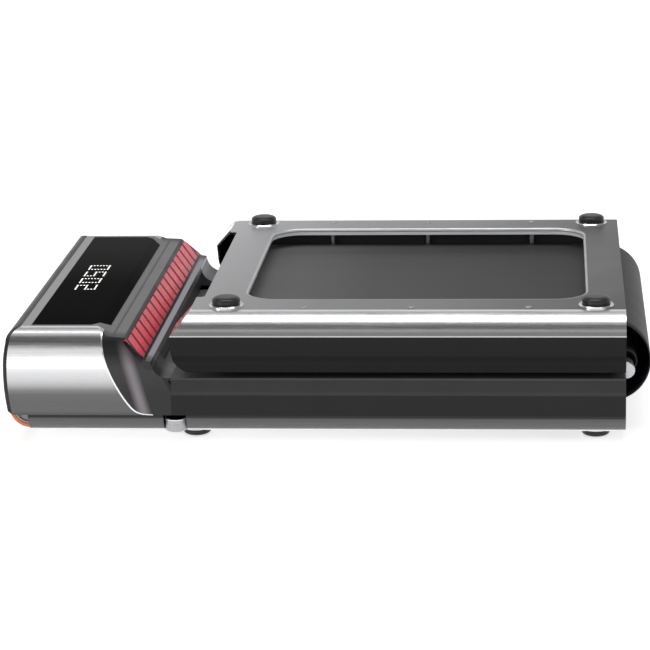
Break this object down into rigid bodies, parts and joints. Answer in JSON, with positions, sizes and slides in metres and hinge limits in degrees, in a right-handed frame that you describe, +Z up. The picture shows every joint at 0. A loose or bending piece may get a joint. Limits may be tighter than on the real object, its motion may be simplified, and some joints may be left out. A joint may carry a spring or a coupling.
{
  "type": "folding walking treadmill",
  "caption": "Low walking treadmill folded in half: motor head with screen and light bar, running belt over two hinged deck halves, feet on both faces, transport wheels.",
  "frame": {"origin": "centre of the folded footprint, on the floor under the head half's feet", "axes": "+X along the machine from the head end to the fold, +Y across it, +Z up"},
  "size_m": [0.87, 0.596, 0.193],
  "materials": {
    "bare_sheet": "satin grey sheet",
    "brushed_band": "brushed along the length",
    "bright_trim": "polished",
    "dark_cover": "fine moulded grain",
    "grey_trim": "satin",
    "end_cap_black": "satin black",
    "screen_black": "polished black",
    "lamp_red": "translucent red with dark ribs",
    "foot_rubber": "matte",
    "belt_rubber": "fine diamond grain",
    "drive_rubber": "ribbed",
    "tyre_orange": "smooth orange tread",
    "hub_grey": "satin",
    "deck_wood": "dark film-faced board",
    "frame_black": "powder coat",
    "machined_steel": "turned",
    "motor_paint": "black enamel",
    "board_green": "solder mask",
    "sink_aluminium": "extruded",
    "fan_plastic": "moulded",
    "cup_metal": "satin cast"
  },
  "bodies": {
    "head_half": {"bottom_plate": "bare_sheet", "side_bands_head": "brushed_band", "cheek_panels": "brushed_band", "cheek_trims": "bright_trim", "foot_rings_head": "bright_trim", "hinge_pins": "bright_trim", "side_covers_head": "dark_cover", "head_cover": "dark_cover", "head_end_cap": "end_cap_black", "power_inlet": "end_cap_black", "light_bar_trim": "grey_trim", "light_bar_lens": "lamp_red", "screen_glass": "screen_black", "foot_pucks_head": "foot_rubber", "deck_cushions_head": "foot_rubber", "belt_head_run": "belt_rubber", "belt_fold_runs": "belt_rubber", "drive_belt": "drive_rubber", "deck_board_head": "deck_wood", "frame_rails_head": "frame_black", "cross_members_head": "frame_black", "motor_saddle": "frame_black", "hinge_brackets_head": "machined_steel", "deck_spacers_head": "machined_steel", "plate_screws_head": "machined_steel", "roller_bearings_head": "machined_steel", "wheel_pins": "machined_steel", "motor_housing": "motor_paint", "controller_board": "board_green", "heat_sink": "sink_aluminium", "display_board": "board_green", "light_board": "board_green", "post_cups": "cup_metal"},
    "tail_half": {"tail_plate": "bare_sheet", "frame_rails_tail": "frame_black", "tension_bolts": "machined_steel", "cross_members_tail": "frame_black", "deck_cushions_tail": "foot_rubber", "deck_board_tail": "deck_wood", "deck_spacers_tail": "machined_steel", "plate_screws_tail": "machined_steel", "foot_pucks_tail": "foot_rubber", "foot_rings_tail": "bright_trim", "side_bands_tail": "brushed_band", "side_covers_tail": "dark_cover", "tail_end_caps": "bright_trim", "hinge_brackets_tail": "machined_steel", "belt_tail_run": "belt_rubber", "tail_axle": "machined_steel"},
    "drive_roller": {"drive_roller": "machined_steel", "roller_pulley": "sink_aluminium"},
    "tail_roller": {"tail_roller": "machined_steel", "tail_roller_bearings": "machined_steel"},
    "motor_rotor": {"motor_rotor": "machined_steel", "cooling_fan": "fan_plastic"},
    "wheel_right": {"wheel_tyre_right": "tyre_orange", "wheel_hub_right": "hub_grey"},
    "wheel_left": {"wheel_tyre_left": "tyre_orange", "wheel_hub_left": "hub_grey"},
    "power_rocker": {"power_rocker": "end_cap_black"}
  },
  "joints": [
    {"name": "fold_hinge", "type": "hinge", "parent": "head_half", "child": "tail_half", "pos_m": [0.401, 0, 0.0965], "axis": [0, 1, 0], "range_deg": [0, 180], "deforming": ["belt_fold_runs"]},
    {"name": "drive_roller_spin", "type": "hinge", "parent": "head_half", "child": "drive_roller", "pos_m": [-0.262, 0, 0.0611], "axis": [0, 1, 0], "continuous": true},
    {"name": "tail_roller_spin", "type": "hinge", "parent": "tail_half", "child": "tail_roller", "pos_m": [-0.165, 0, 0.1319], "axis": [0, 1, 0], "continuous": true},
    {"name": "motor_spin", "type": "hinge", "parent": "head_half", "child": "motor_rotor", "pos_m": [-0.352, 0, 0.078], "axis": [0, 1, 0], "continuous": true},
    {"name": "wheel_right_spin", "type": "hinge", "parent": "head_half", "child": "wheel_right", "pos_m": [-0.4055, 0.2745, 0.046], "axis": [0, 1, 0], "continuous": true},
    {"name": "wheel_left_spin", "type": "hinge", "parent": "head_half", "child": "wheel_left", "pos_m": [-0.4055, -0.2745, 0.046], "axis": [0, 1, 0], "continuous": true},
    {"name": "power_rocker_tilt", "type": "hinge", "parent": "head_half", "child": "power_rocker", "pos_m": [-0.4295, 0.204, 0.074], "axis": [0, 1, 0], "range_deg": [-14, 0]}
  ],
  "couplings": [
    {"joint": "tail_roller_spin", "follows": "drive_roller_spin", "ratio": 1},
    {"joint": "motor_spin", "follows": "drive_roller_spin", "ratio": 2.3768}
  ]
}
